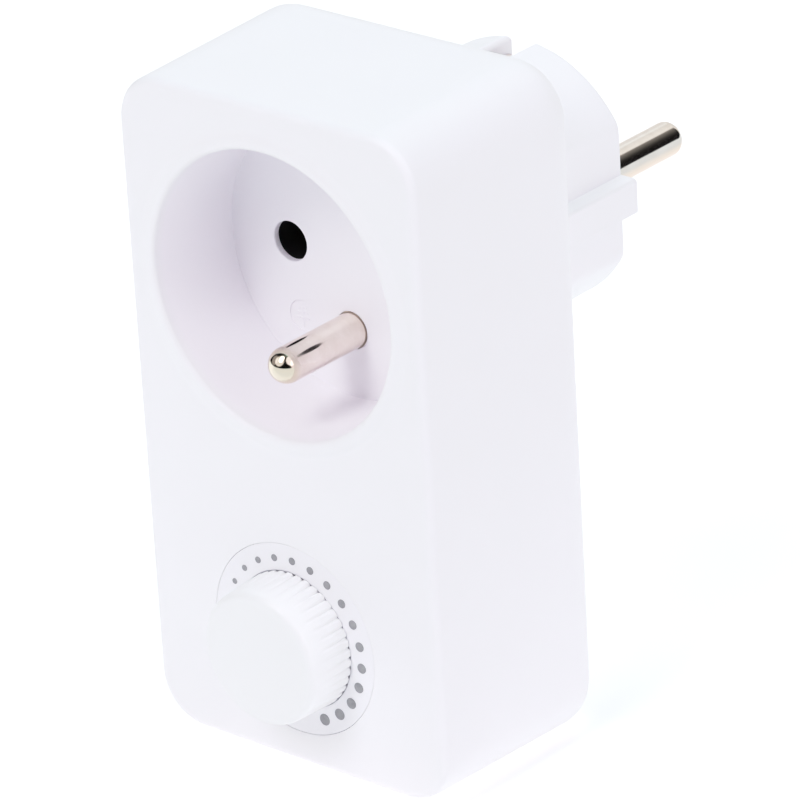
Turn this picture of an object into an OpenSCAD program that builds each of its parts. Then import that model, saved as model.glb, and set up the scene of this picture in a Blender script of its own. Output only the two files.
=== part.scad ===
// Plug-in dimmer: a mains plug, a socket outlet with an earth pin, and a rotary dimmer in one case.
// The origin is the centre of the plug's seating face. +Y points into the wall, +Z up, +X to the
// right of someone who looks at the front. Every module is drawn with its depth counted from the
// case's front face, and wall_frame() puts it in place.

/* [Case] */
// Width of the case at its front face
case_w = 48; // [47:0.5:52]
// Height of the case at its front face
case_h = 90.8; // [88:0.2:96]
// Depth of the case from front face to back face
case_d = 31.2; // [31:0.2:34]
// Corner radius seen from the front
corner_r = 6.8; // [6:0.2:8]
// Edge radius round the front face
front_r = 1.2; // [0.6:0.2:1.6]
// Edge radius round the back face
back_r = 4.5; // [3.5:0.5:5]
// Draft angle of the four sides, wider towards the back
draft = 2; // [0.5:0.5:2.5]
// Wall thickness
wall = 2.2; // [2:0.1:2.4]
// Distance from the socket's centre down to the case's centre
case_drop = 20.05; // [19.5:0.05:20.5]

/* [Socket] */
// Radius of the socket recess
recess_r = 19.3; // [19.2:0.05:19.5]
// Depth of the socket recess
recess_depth = 14.6; // [14:0.1:15]
// Outer radius of the raised lip
lip_r = 21.8; // [21.5:0.1:22]
// Height of the raised lip over the front face
lip_h = 0.4; // [0.2:0.1:0.6]
// Distance between the two contact holes
contact_pitch = 19; // [19:0.1:19.2]
// Radius of a contact hole
contact_hole_r = 2.7; // [2.7:0.1:3]
// Earth pin's distance below the socket's centre
earth_drop = 10; // [9.8:0.1:10.2]
// Earth pin's length over the recess floor
earth_pin_len = 15; // [13:0.5:16]
// Socket centre's height over the plug's axis
socket_rise = 0.35; // [0:0.05:0.5]

/* [Dial and knob] */
// Distance from the socket's centre down to the knob's axis
dial_drop = 47.6; // [47:0.1:48]
// Radius of the dial plate
dial_r = 13.2; // [13:0.1:13.4]
// Radius of the circle of dots
dots_r = 11.15; // [11:0.05:11.3]
// Number of dots
dot_count = 21; // [15:1:25]
// Knob radius at its base
knob_r = 9.45; // [9:0.05:9.6]
// Knob height
knob_h = 7; // [6.5:0.1:8]
// Number of flutes round the knob
flute_count = 42; // [36:1:48]
// Angle between the minimum stop and the maximum stop
knob_turn = 300; // [270:5:310]

/* [Plug] */
// Radius of the plug body
plug_r = 17.9; // [17.5:0.1:18.5]
// Length of the plug body behind the case
plug_len = 20; // [19:0.5:21]
// Distance from the plug's axis to a side flat
plug_flat = 15.5; // [15:0.1:16]
// Distance from the plug's axis to the face of a guide rib
rib_reach = 18.05; // [17.3:0.05:18.1]
// Height of a guide rib
rib_h = 4.7; // [4.4:0.1:5]
// Radius of a mains pin
pin_r = 2.4; // [2.38:0.01:2.42]
// Length of a mains pin
pin_len = 18.1; // [18:0.1:19.5]
// Width of an earth notch
notch_w = 4; // [3.8:0.1:5]

/* [Hidden] */

$fn = 96;
face_d = case_d + plug_len;            // plug face, from the case's front
split_d = case_d - 1.4;                // joint between front housing and back cover
cover_in = case_d - 2.8;               // inner face of the back cover
sock_v = -socket_rise;                 // heights run downwards from the plug's axis
case_v = sock_v + case_drop;
dial_v = sock_v + dial_drop;
earth_v = sock_v + earth_drop;
half = contact_pitch / 2;
cx = case_w / 2 - corner_r;            // corner centres
cv = case_h / 2 - corner_r;
in_x = case_w / 2 - wall;              // cavity half sizes
in_v = case_h / 2 - wall;
well_wall = 1.8;
well_floor = 1.6;
well_back = recess_depth + well_floor;
knob_gap = 0.12;
pot_front = 3.5;
shaft_r = 3;
board_d = 11;                          // front face of the circuit board
board_t = 1.6;
parts_d = board_d + board_t;           // components stand behind the board
link_d = recess_depth + 20;            // closed ends of the contacts, inside the plug body
tail_d = link_d + 2;                   // inner ends of the mains pins
boss_x = 18.2;
boss_v = in_v - 3.6;
dot_first = -153;
dot_step = 310.4 / (dot_count - 1);

// heights down and depth from the front, turned into the wall frame
module wall_frame() translate([0, -face_d, 0]) rotate([-90, 0, 0]) children();

function arc(c, r, a0, a1, n) = [for (i = [0 : n]) let (a = a0 + (a1 - a0) * i / n) c + r * [cos(a), sin(a)]];

// side of the case as reach from a corner centre against depth: draft with a rounded front and back edge
front_c = [corner_r + front_r * tan(draft) - front_r / cos(draft), front_r];
back_c = [corner_r + (case_d - back_r) * tan(draft) - back_r / cos(draft), case_d - back_r];
side_line = concat(arc(front_c, front_r, -90, -draft, 6), arc(back_c, back_r, -draft, 90, 9));

// the four corners, each turned from that line, and the flats between them
module case_solid() translate([0, case_v, 0]) hull()
    for (x = [-cx, cx], v = [-cv, cv]) translate([x, v, 0])
        rotate_extrude($fn = 64) polygon(concat([[0, 0]], side_line, [[0, case_d]]));

module rounded_plate(hx, hv, r, h) linear_extrude(height = h) union() {
    square([2 * (hx - r), 2 * hv], center = true);
    square([2 * hx, 2 * (hv - r)], center = true);
    for (x = [-1, 1], v = [-1, 1]) translate([x * (hx - r), v * (hv - r)]) circle(r = r);
}

module bar(x0, x1, v0, v1, d0, d1) translate([x0, v0, d0]) cube([x1 - x0, v1 - v0, d1 - d0]);

module at_bosses() for (x = [-1, 1], v = [-1, 1]) translate([x * boss_x, case_v + v * boss_v, 0]) children();

module at_board_bosses() for (x = [-1, 1]) translate([x * 16, 28, 0]) children();

// ---------------------------------------------------------------- case

module front_housing() color([0.94, 0.94, 0.96]) wall_frame() {
    difference() {
        intersection() {
            case_solid();
            translate([-60, -80, -1]) cube([120, 200, split_d + 1]);
        }
        translate([0, case_v, wall]) rounded_plate(in_x, in_v, corner_r - wall, case_d);
        translate([0, sock_v, -1]) cylinder(r = recess_r + well_wall + 0.1, h = wall + 2);
        translate([0, dial_v, -1]) cylinder(r = dial_r + 0.2, h = 1 + 1.2);
        translate([0, dial_v, 0]) cylinder(r = 4.5, h = wall + 1);
    }
    difference() {
        union() {
            at_bosses() translate([0, 0, wall - 0.4]) cylinder(r = 3, h = cover_in - 0.2 - wall + 0.4);
            at_board_bosses() translate([0, 0, wall - 0.4]) cylinder(r = 2.4, h = board_d - wall + 0.4);
        }
        at_bosses() translate([0, 0, 12]) cylinder(r = 1.55, h = 40);
        at_board_bosses() translate([0, 0, 5]) cylinder(r = 1.05, h = 40);
    }
}

module back_cover() color([0.94, 0.94, 0.96]) wall_frame() difference() {
    union() {
        intersection() {
            case_solid();
            translate([-60, -80, split_d]) cube([120, 200, 20]);
        }
        translate([0, case_v, cover_in]) rounded_plate(in_x - 0.15, in_v - 0.15, corner_r - wall, split_d - cover_in + 0.4);
    }
    translate([0, 0, cover_in - 1]) cylinder(r = 16.5, h = 10);
    at_bosses() translate([0, 0, cover_in - 1]) cylinder(r = 1.7, h = 10);
    at_bosses() translate([0, 0, case_d - 1.4]) cylinder(r = 3.1, h = 5);
}

module housing_screws() color([0.72, 0.73, 0.75]) wall_frame() at_bosses() difference() {
    union() {
        translate([0, 0, 16]) cylinder(r = 1.5, h = case_d - 1.3 - 16);
        translate([0, 0, case_d - 1.35]) cylinder(r = 2.9, h = 1.2);
    }
    translate([0, 0, case_d - 0.1]) cube([3.2, 0.7, 1.4], center = true);
    translate([0, 0, case_d - 0.1]) cube([0.7, 3.2, 1.4], center = true);
}

// ---------------------------------------------------------------- socket

module socket_well() color([0.93, 0.93, 0.96]) wall_frame() translate([0, sock_v, 0]) difference() {
    rotate_extrude() polygon(concat(
        [[0, recess_depth], [recess_r - 0.3, recess_depth], [recess_r, recess_depth - 0.3]],
        arc([recess_r + 0.35, 0.35 - lip_h], 0.35, 180, 270, 4),
        arc([lip_r - 0.3, 0.3 - lip_h], 0.3, 270, 360, 4),
        [[lip_r, 0], [recess_r + well_wall, 0], [recess_r + well_wall, well_back], [0, well_back]]));
    for (x = [-half, half]) translate([x, 0, recess_depth - 1]) cylinder(r = contact_hole_r, h = 6);
    translate([0, earth_drop, recess_depth - 1]) cylinder(r = pin_r + 0.25, h = 6);
}

module socket_earth_pin() color([0.78, 0.76, 0.72]) wall_frame() translate([0, earth_v, 0]) {
    translate([0, 0, recess_depth - earth_pin_len + pin_r]) cylinder(r = pin_r, h = earth_pin_len - pin_r);
    translate([0, 0, recess_depth - earth_pin_len + pin_r]) sphere(r = pin_r);
    translate([0, 0, recess_depth]) cylinder(r = pin_r + 0.2, h = well_floor + 0.1);
    translate([0, 0, well_back + 0.1]) cylinder(r = 4, h = 1.4);
    translate([0, 0, well_back + 1.4]) cylinder(r = 2, h = 27.2 - well_back - 1.4);
}

module contact_carrier() color([0.05, 0.05, 0.055]) wall_frame() difference() {
    bar(-15, 15, sock_v - 5.4, sock_v + 5.4, well_back + 0.1, 24.4);
    for (x = [-half, half]) translate([x, sock_v, well_back - 1]) cylinder(r = 3.3, h = 12);
}

// slotted sleeve, deep enough for a whole mains pin behind the recess floor
module socket_contact() difference() {
    cylinder(r = 3.2, h = link_d - 20.6);
    translate([0, 0, -1]) cylinder(r = 2.42, h = link_d - 20.6 + 0.4);
    translate([-4, -0.4, -1]) cube([8, 0.8, 9]);
    translate([-0.4, -4, -1]) cube([0.8, 8, 9]);
}

module contact_left() color([0.80, 0.66, 0.36]) wall_frame() translate([-half, sock_v, 20.6]) socket_contact();

// with a tab for the load wire
module contact_right() color([0.80, 0.66, 0.36]) wall_frame() {
    translate([half, sock_v, 20.6]) socket_contact();
    bar(half - 1.5, half + 1.5, 2.2, 5.2, 29.4, 30.4);
}

module neutral_link() color([0.80, 0.66, 0.36]) wall_frame() bar(-half - 3, -half + 3, -3.2, 3.2, link_d, tail_d);

module earth_link() color([0.80, 0.66, 0.36]) wall_frame() bar(-2, 2, -15.9, 15.9, 27.2, 28);

// ---------------------------------------------------------------- dial, knob and rotary control

module dial_plate() color([0.95, 0.95, 0.97]) wall_frame() translate([0, dial_v, 0]) difference() {
    translate([0, 0, 0.05]) cylinder(r = dial_r, h = 1.1);
    translate([0, 0, -1]) cylinder(r = 4.5, h = 4);
}

// the dots grow clockwise, from the minimum stop to the maximum stop
module scale_dots() color([0.33, 0.33, 0.37]) wall_frame() translate([0, dial_v, 0])
    for (k = [0 : dot_count - 1]) let (a = dot_first + dot_step * k)
        translate([dots_r * sin(a), -dots_r * cos(a), -0.01]) cylinder(r = 0.22 + 0.59 * k / (dot_count - 1), h = 0.06, $fn = 32);

module dimmer_knob() color([0.96, 0.96, 0.97]) wall_frame() translate([0, dial_v, -knob_gap]) mirror([0, 0, 1]) difference() {
    rotate_extrude() polygon(concat(
        [[shaft_r + 0.02, 0], [4.8, 0], [4.8, 4.6], [7.6, 4.6], [7.9, 0], [knob_r, 0]],
        arc([knob_r - 0.9, knob_h - 0.6], 0.6, 3, 90, 6),
        [[0, knob_h], [0, 5.2], [shaft_r + 0.02, 5.2]]));
    // the flutes get shallower towards the front
    for (k = [0 : flute_count - 1]) rotate([0, 0, 360 * (k + 0.5) / flute_count])
        translate([knob_r + 0.12, 0, -0.1]) rotate([0, -1, 0]) cylinder(r = 0.42, h = knob_h - 1.0, $fn = 24);
    // finger dimple that points to the setting, at the minimum stop
    rotate([0, 0, -knob_turn / 2]) translate([0, -7.2, knob_h + 1.15]) sphere(r = 1.5);
}

module dimmer_shaft() color([0.75, 0.75, 0.77]) wall_frame() translate([0, dial_v, 0])
    translate([0, 0, -knob_gap - 5]) cylinder(r = shaft_r, h = knob_gap + 5 + 7.4);

module pot_bushing() color([0.80, 0.66, 0.36]) wall_frame() translate([0, dial_v, 0]) difference() {
    translate([0, 0, 0]) cylinder(r = 4.3, h = pot_front);
    translate([0, 0, -1]) cylinder(r = shaft_r + 0.06, h = 8);
}

module pot_body() color([0.62, 0.63, 0.66]) wall_frame() translate([0, dial_v, 0]) rotate_extrude()
    polygon([[shaft_r + 0.06, pot_front], [8, pot_front], [8, 9.2], [7.4, 9.2], [7.4, pot_front + 0.8], [shaft_r + 0.06, pot_front + 0.8]]);

module pot_back() color([0.45, 0.33, 0.20]) wall_frame() translate([0, dial_v, 0]) {
    translate([0, 0, 9.2]) cylinder(r = 8, h = 1);
    for (x = [-5, 0, 5]) bar(x - 0.6, x + 0.6, -9.6, -6, 10.2, 10.95);
}

module pot_track() color([0.10, 0.10, 0.10]) wall_frame() translate([0, dial_v, 0])
    rotate([0, 0, -240]) rotate_extrude(angle = 300) translate([4.6, 9.0]) square([2.2, 0.19]);

// turns with the shaft
module pot_wiper() color([0.80, 0.66, 0.36]) wall_frame() translate([0, dial_v, 0]) {
    translate([0, 0, 7.4]) cylinder(r = 2.6, h = 0.6);
    rotate([0, 0, -knob_turn / 2]) bar(-0.9, 0.9, -6.6, 0, 7.4, 8.0);
    rotate([0, 0, -knob_turn / 2]) translate([0, -5.7, 7.9]) cylinder(r = 0.7, h = 0.8);
}

// ---------------------------------------------------------------- electronics

module circuit_board() color([0.16, 0.40, 0.22]) wall_frame() difference() {
    bar(-20.6, 20.6, 24, 56, board_d, parts_d);
    at_board_bosses() translate([0, 0, 5]) cylinder(r = 1.25, h = 20);
}

module board_screws() color([0.72, 0.73, 0.75]) wall_frame() at_board_bosses() {
    translate([0, 0, 6]) cylinder(r = 1, h = parts_d - 6);
    translate([0, 0, parts_d]) cylinder(r = 2, h = 1.2);
}

module triac() color([0.10, 0.10, 0.11]) wall_frame() {
    bar(3, 13, 31.6, 36, parts_d, 21);
    for (x = [5.4, 8, 10.6]) bar(x - 0.4, x + 0.4, 33.4, 34.2, 21, 22.5);
}

module heat_sink() color([0.75, 0.76, 0.78]) wall_frame() {
    bar(1, 15, 29.9, 31.5, parts_d, 27);
    for (x = [1, 4.5, 8, 11.5]) bar(x, x + 1.5, 26.4, 30, 14.5, 27);
}

module choke_core() color([0.20, 0.20, 0.21]) wall_frame() translate([-11, 46.5, 0]) {
    translate([0, 0, parts_d]) cylinder(r = 7.5, h = 1.6);
    translate([0, 0, parts_d]) cylinder(r = 3.4, h = 12.4);
    translate([0, 0, parts_d + 10.8]) cylinder(r = 7.5, h = 1.6);
}

// close-wound turns, ribbed on the outside
module choke_winding() color([0.72, 0.38, 0.20]) wall_frame() translate([-11, 46.5, parts_d + 1.7]) rotate_extrude()
    polygon(concat([[3.5, 9], [3.5, 0]], [for (k = [0 : 17]) [k % 2 == 0 ? 6.5 : 6.9, 9 * (k + 0.5) / 18]]));

module suppression_capacitor() color([0.85, 0.72, 0.25]) wall_frame() {
    bar(1, 19, 45.5, 53.5, parts_d + 0.4, 25);
    for (x = [2.5, 17.5]) translate([x, 49.5, parts_d]) cylinder(r = 0.4, h = 1, $fn = 24);
}

module timing_capacitor() color([0.70, 0.22, 0.14]) wall_frame() {
    bar(-1.5, 5.5, 38.4, 41.6, parts_d + 0.4, 19);
    for (x = [-0.5, 4.5]) translate([x, 40, parts_d]) cylinder(r = 0.3, h = 1, $fn = 24);
}

module resistors() color([0.76, 0.66, 0.50]) wall_frame() for (v = [38.6, 42])
    translate([8.5, v, parts_d + 1.3]) rotate([0, 90, 0]) cylinder(r = 1.2, h = 7);

module diac() color([0.20, 0.30, 0.55]) wall_frame()
    translate([16.8, 40.3, parts_d + 1]) rotate([0, 90, 0]) cylinder(r = 0.95, h = 3.4);

module fuse_tube() color([0.80, 0.90, 0.92]) wall_frame() translate([-19.4, 29.5, 17.5]) rotate([0, 90, 0]) difference() {
    translate([0, 0, 3]) cylinder(r = 2.5, h = 12);
    translate([0, 0, 2]) cylinder(r = 1.9, h = 14);
}

module fuse_caps() color([0.78, 0.78, 0.78]) wall_frame() translate([-19.4, 29.5, 17.5]) rotate([0, 90, 0])
    for (s = [0, 15]) translate([0, 0, s]) cylinder(r = 2.6, h = 3);

module fuse_clips() color([0.80, 0.66, 0.36]) wall_frame() translate([-19.4, 29.5, 0]) for (x = [0.4, 15.4]) difference() {
    bar(x, x + 2.2, -3.2, 3.2, 12.6 + (x < 1 ? 1.25 : 0), 19.4);
    translate([x - 1, 0, 17.5]) rotate([0, 90, 0]) cylinder(r = 2.65, h = 6);
    bar(x - 1, x + 4, -1.9, 1.9, 17.5, 22);
}

// insulated wire along a route of points: a ring of sides at each point, square to the bend there
function unit(v) = v / norm(v);
function wire_dir(pts, i) = unit((i < len(pts) - 1 ? unit(pts[i + 1] - pts[i]) : [0, 0, 0]) + (i > 0 ? unit(pts[i] - pts[i - 1]) : [0, 0, 0]));
// the routes lie in planes that hold no run along this direction
side_ref = unit([0.31, 0.17, 0.93]);
function wire_ring(p, t, r, n) = let (u = unit(cross(t, cross(side_ref, t))), w = cross(t, u))
    [for (k = [0 : n - 1]) p + r * (cos(360 * k / n) * u + sin(360 * k / n) * w)];
module wire(pts, r, n = 10) let (m = len(pts))
    polyhedron(points = [for (i = [0 : m - 1]) each wire_ring(pts[i], wire_dir(pts, i), r, n)],
        faces = concat([[for (k = [0 : n - 1]) k]],
            [for (i = [0 : m - 2], k = [0 : n - 1]) [i * n + (k + 1) % n, i * n + k, (i + 1) * n + k, (i + 1) * n + (k + 1) % n]],
            [[for (k = [n - 1 : -1 : 0]) (m - 1) * n + k]]));

module line_wire() color([0.45, 0.27, 0.16]) wall_frame()
    wire([[half, 2.6, tail_d + 0.5], [half, 4.6, tail_d + 0.5], [8.5, 7.6, 36], [7.5, 9.8, 33], [7.5, 10.2, 30], [8, 10.6, 27],
          [11.5, 14, 25.8], [16.5, 17.5, 25.6], [19, 20.5, 24.8], [19, 24, 23.2], [19, 26, 20.5], [19, 26, parts_d]], 1.1);

module load_wire() color([0.10, 0.10, 0.11]) wall_frame()
    wire([[half, 5.2, 29.9], [half, 6.2, 29.9], [10.6, 7.4, 29.2], [11.3, 8, 27.4], [11.5, 9, 24], [11.5, 11, 21], [12, 14, 19.2],
          [13, 18, 18.9], [15.8, 23, 18.7], [16.8, 24.6, 18], [17, 25, 16.5], [17, 25, parts_d]], 1.0);

// ---------------------------------------------------------------- plug

module plug_solid() {
    intersection() {
        rotate_extrude() polygon(concat(
            [[0, case_d], [plug_r, case_d]], arc([plug_r - 0.8, face_d - 0.8], 0.8, 0, 90, 6), [[0, face_d]]));
        bar(-plug_flat, plug_flat, -30, 30, 0, 100);
    }
    intersection() {
        bar(-rib_reach, rib_reach, -rib_h / 2, rib_h / 2, case_d, face_d - 0.1);
        translate([0, 0, case_d]) cylinder(r = plug_r + 0.4, h = plug_len);
    }
    translate([0, 0, cover_in]) cylinder(r = 16.4, h = case_d - cover_in);
    translate([0, 0, cover_in]) cylinder(r = 15.4, h = 5);
}

module plug_body() color([0.94, 0.94, 0.96]) wall_frame() difference() {
    plug_solid();
    // hollow behind the face
    translate([0, 0, cover_in - 1]) difference() {
        intersection() {
            cylinder(r = 14.6, h = plug_len - 1.2);
            bar(-13.4, 13.4, -30, 30, -1, 60);
        }
        for (x = [-half, half]) translate([x, 0, 11]) cylinder(r = 4.3, h = 60);
        translate([0, -10, 9]) cylinder(r = 4.1, h = 60);
    }
    for (x = [-half, half]) translate([x, 0, 0]) cylinder(r = 3.2, h = 100);
    translate([0, -10, 0]) cylinder(r = 3.15, h = 100);
    for (s = [-1, 1]) {
        // channel of the earth contact, then the notch where it shows
        bar(-1.9, 1.9, s > 0 ? 13.9 : -16.1, s > 0 ? 16.1 : -13.9, 0, 100);
        bar(-notch_w / 2, notch_w / 2, s > 0 ? 13.9 : -30, s > 0 ? 30 : -13.9, face_d - 6.5, 100);
    }
}

module mains_pin() {
    cylinder(r = pin_r, h = pin_len - 1.6);
    translate([0, 0, pin_len - 1.6]) rotate_extrude() polygon(concat([[0, 0], [pin_r, 0]], arc([pin_r - 1.6, 0], 1.6, 0, 90, 6), [[0, 1.6]]));
    // root, moulded into the plug and flush with its face
    translate([0, 0, -12]) cylinder(r = 3.15, h = 12);
    translate([0, 0, tail_d - face_d]) cylinder(r = 2, h = face_d - tail_d - 11);
}

module plug_pin_left() color([0.78, 0.76, 0.72]) wall_frame() translate([-half, 0, face_d]) mains_pin();

module plug_pin_right() color([0.78, 0.76, 0.72]) wall_frame() {
    translate([half, 0, face_d]) mains_pin();
    bar(half - 2.6, half + 2.6, -2.6, 2.6, tail_d, tail_d + 1);
}

module plug_earth_socket() color([0.78, 0.76, 0.72]) wall_frame() translate([0, -10, 0]) {
    difference() {
        translate([0, 0, face_d - 17]) cylinder(r = 3.1, h = 16.4);
        translate([0, 0, face_d - 15]) cylinder(r = 2.45, h = 20);
    }
    translate([0, 0, 28]) cylinder(r = 1.5, h = face_d - 17 - 28 + 1);
}

module earth_clip() {
    bar(-1.8, 1.8, 14.7, 15.5, 28.1, face_d - 0.9);
    bar(-1.8, 1.8, 14.2, 15.5, 28.1, 28.9);
}

module plug_clip_top() color([0.78, 0.76, 0.72]) wall_frame() mirror([0, 1, 0]) earth_clip();

module plug_clip_bottom() color([0.78, 0.76, 0.72]) wall_frame() earth_clip();

front_housing();
back_cover();
housing_screws();
socket_well();
socket_earth_pin();
contact_carrier();
contact_left();
contact_right();
neutral_link();
earth_link();
dial_plate();
scale_dots();
dimmer_knob();
dimmer_shaft();
pot_bushing();
pot_body();
pot_back();
pot_track();
pot_wiper();
circuit_board();
board_screws();
triac();
heat_sink();
choke_core();
choke_winding();
suppression_capacitor();
timing_capacitor();
resistors();
diac();
fuse_tube();
fuse_caps();
fuse_clips();
line_wire();
load_wire();
plug_body();
plug_pin_left();
plug_pin_right();
plug_earth_socket();
plug_clip_top();
plug_clip_bottom();
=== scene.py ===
"""Looks of the plug-in dimmer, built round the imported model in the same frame."""
import math

import bmesh
import bpy
from mathutils import Matrix, Vector
from mathutils.geometry import tessellate_polygon


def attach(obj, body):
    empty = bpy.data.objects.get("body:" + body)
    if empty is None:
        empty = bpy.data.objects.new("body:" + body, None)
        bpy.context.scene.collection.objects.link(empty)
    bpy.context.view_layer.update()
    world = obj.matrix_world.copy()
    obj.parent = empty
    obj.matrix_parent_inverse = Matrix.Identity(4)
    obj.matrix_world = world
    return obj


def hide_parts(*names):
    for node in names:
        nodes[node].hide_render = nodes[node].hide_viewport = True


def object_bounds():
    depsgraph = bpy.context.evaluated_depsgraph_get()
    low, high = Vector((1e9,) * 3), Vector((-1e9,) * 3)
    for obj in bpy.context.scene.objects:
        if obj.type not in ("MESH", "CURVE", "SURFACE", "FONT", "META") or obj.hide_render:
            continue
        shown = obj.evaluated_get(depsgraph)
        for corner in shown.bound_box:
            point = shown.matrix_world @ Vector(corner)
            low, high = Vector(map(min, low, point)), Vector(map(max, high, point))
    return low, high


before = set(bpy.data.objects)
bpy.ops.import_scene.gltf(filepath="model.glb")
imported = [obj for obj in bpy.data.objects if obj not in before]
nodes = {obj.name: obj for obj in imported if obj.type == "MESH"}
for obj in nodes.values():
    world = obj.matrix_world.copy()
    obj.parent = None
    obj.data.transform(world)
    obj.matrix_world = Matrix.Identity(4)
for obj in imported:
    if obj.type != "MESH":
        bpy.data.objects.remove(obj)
cad_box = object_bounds()
scene = bpy.context.scene

# ------------------------------------------------------------------ camera
cam = bpy.data.cameras.new("camera")
cam.sensor_width, cam.lens = 36.0, 274.338
cam.clip_start, cam.clip_end = 0.02, 40.0
cam_obj = bpy.data.objects.new("camera", cam)
cam_obj.matrix_world = Matrix((
    (0.76706177, -0.22963479, 0.59906937, 0.46788621),
    (0.63937586, 0.35082546, -0.68419296, -0.5625345),
    (-0.05305428, 0.90784875, 0.41592774, 0.30221368),
    (0, 0, 0, 1)))
scene.collection.objects.link(cam_obj)
scene.camera = cam_obj
view = scene.view_settings
view.view_transform = "Standard"
# a soft shoulder, so that the whites keep their shading: straight up to 0.5, white at 1.2
view.use_curve_mapping = True
view.curve_mapping.clip_max_x = 1.2
shoulder = view.curve_mapping.curves[3]
shoulder.points[1].location = (1.2, 1.0)
for level, shown in ((0.25, 0.25), (0.5, 0.5), (0.7, 0.68), (0.9, 0.82), (1.0, 0.875), (1.1, 0.9375)):
    shoulder.points.new(level, shown)
view.curve_mapping.update()

# ------------------------------------------------------------------ dimensions, mm
# x to the right, v down from the plug's axis, d back from the case's front face
CASE_D, FACE_D, WALL = 31.2, 51.2, 2.2
CX, CV, CASE_V = 17.2, 38.6, 19.7            # centres of the case's four corners
CORNER_R, FRONT_R, BACK_R = 6.8, 1.2, 4.5
DRAFT = math.radians(2)
SPLIT_D, COVER_IN = 29.8, 28.4
SOCK_V, DIAL_V, EARTH_V = -0.35, 47.25, 9.65
RECESS_R, RECESS_D, LIP_R, LIP_H = 19.3, 14.6, 21.8, 0.4
WELL_BACK = 16.2
HALF = 9.5
PIN_R = 2.4
BOSSES = [(sx * 18.2, CASE_V + sv * 39.6) for sx in (-1, 1) for sv in (-1, 1)]


def place(x, v, d):
    return (x * 1e-3, (d - FACE_D) * 1e-3, -v * 1e-3)


def arc(cx, cy, r, a0, a1, n):
    """Points of an arc, angles in degrees."""
    return [(cx + r * math.cos(math.radians(a0 + (a1 - a0) * k / n)),
             cy + r * math.sin(math.radians(a0 + (a1 - a0) * k / n))) for k in range(n + 1)]


def circle(x, v, r, d, n=96):
    return [(x + r * math.cos(math.tau * k / n), v + r * math.sin(math.tau * k / n), d) for k in range(n)]


def corner_loop(reach, d, cx=CX, cv=CV, steps=20):
    """A rounded rectangle round the case's axis; reach is counted from its four corner centres."""
    points = []
    for sx, sv, a0 in ((1, 1, 0), (-1, 1, 90), (-1, -1, 180), (1, -1, 270)):
        for k in range(steps + 1):
            a = math.radians(a0 + 90 * k / steps)
            points.append((sx * cx + reach * math.cos(a), CASE_V + sv * cv + reach * math.sin(a), d))
    return points


class Shape:
    """A closed shell made from loops of points."""

    def __init__(self):
        self.points, self.faces = [], []

    def loop(self, points):
        start = len(self.points)
        self.points.extend(points)
        return list(range(start, len(self.points)))

    def strip(self, *loops):
        for a, b in zip(loops, loops[1:]):
            n = len(a)
            for k in range(n):
                self.faces.append((a[k], a[(k + 1) % n], b[(k + 1) % n], b[k]))

    def run(self, loops):
        """Adds loops of points one after another, joined; returns the first and the last."""
        made = [self.loop(points) for points in loops]
        self.strip(*made)
        return made[0], made[-1]

    def cap(self, outer, *holes):
        """A flat face at one depth, with holes."""
        rings = (outer,) + holes
        order = [i for ring in rings for i in ring]
        lines = [[Vector((self.points[i][0], self.points[i][1], 0)) for i in ring] for ring in rings]
        for tri in tessellate_polygon(lines):
            self.faces.append(tuple(order[i] for i in tri))

    def tip(self, a, point):
        self.points.append(point)
        t = len(self.points) - 1
        for k in range(len(a)):
            self.faces.append((a[k], a[(k + 1) % len(a)], t))

    def turned(self, profile, x, v, n=64):
        """A solid of revolution from (radius, depth) pairs; a radius of 0 closes it."""
        last = None
        for r, d in profile:
            if r == 0:
                if last is None:
                    first_tip = (x, v, d)
                    last = "tip"
                else:
                    self.tip(last, (x, v, d))
                continue
            ring = self.loop(circle(x, v, r, d, n))
            if last == "tip":
                self.tip(ring, first_tip)
            elif last is not None:
                self.strip(last, ring)
            last = ring
        return self

    def mesh(self, name):
        mesh = bpy.data.meshes.new(name)
        mesh.from_pydata([place(*p) for p in self.points], [], self.faces)
        obj = bpy.data.objects.new(name, mesh)
        scene.collection.objects.link(obj)
        outward(mesh)
        return obj


def outward(mesh):
    bm = bmesh.new()
    bm.from_mesh(mesh)
    bmesh.ops.recalc_face_normals(bm, faces=bm.faces)
    bm.to_mesh(mesh)
    bm.free()


def combine(obj, tools, operation):
    """Cuts the tools out of a piece or joins them to it, and removes the tools."""
    for tool in tools:
        m = obj.modifiers.new("shape", "BOOLEAN")
        m.operation, m.solver, m.object = operation, "EXACT", tool
        bpy.context.view_layer.update()
        made = bpy.data.meshes.new_from_object(obj.evaluated_get(bpy.context.evaluated_depsgraph_get()))
        obj.modifiers.clear()
        old, obj.data = obj.data, made
        bpy.data.meshes.remove(old)
        gone = tool.data
        bpy.data.objects.remove(tool)
        bpy.data.meshes.remove(gone)
    # points less than a thousandth of a millimetre apart become one
    b = bmesh.new()
    b.from_mesh(obj.data)
    bmesh.ops.remove_doubles(b, verts=b.verts[:], dist=1e-6)
    b.to_mesh(obj.data)
    b.free()
    return obj


def finished(obj, material, stands_for, body="case", angle=32):
    """Smooth shading with crisp edges, one material, and the body it rides on."""
    obj.data.materials.clear()
    obj.data.materials.append(material)
    obj.data.shade_smooth()
    obj.data.set_sharp_from_angle(angle=math.radians(angle))
    m = obj.modifiers.new("normals", "WEIGHTED_NORMAL")
    m.keep_sharp, m.weight = True, 60
    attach(obj, body)
    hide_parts(*stands_for)
    return obj


# ------------------------------------------------------------------ materials
def new_material(name):
    m = bpy.data.materials.new(name)
    m.use_nodes = True
    tree = m.node_tree
    return m, tree.nodes, tree.links, tree.nodes["Principled BSDF"]


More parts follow.
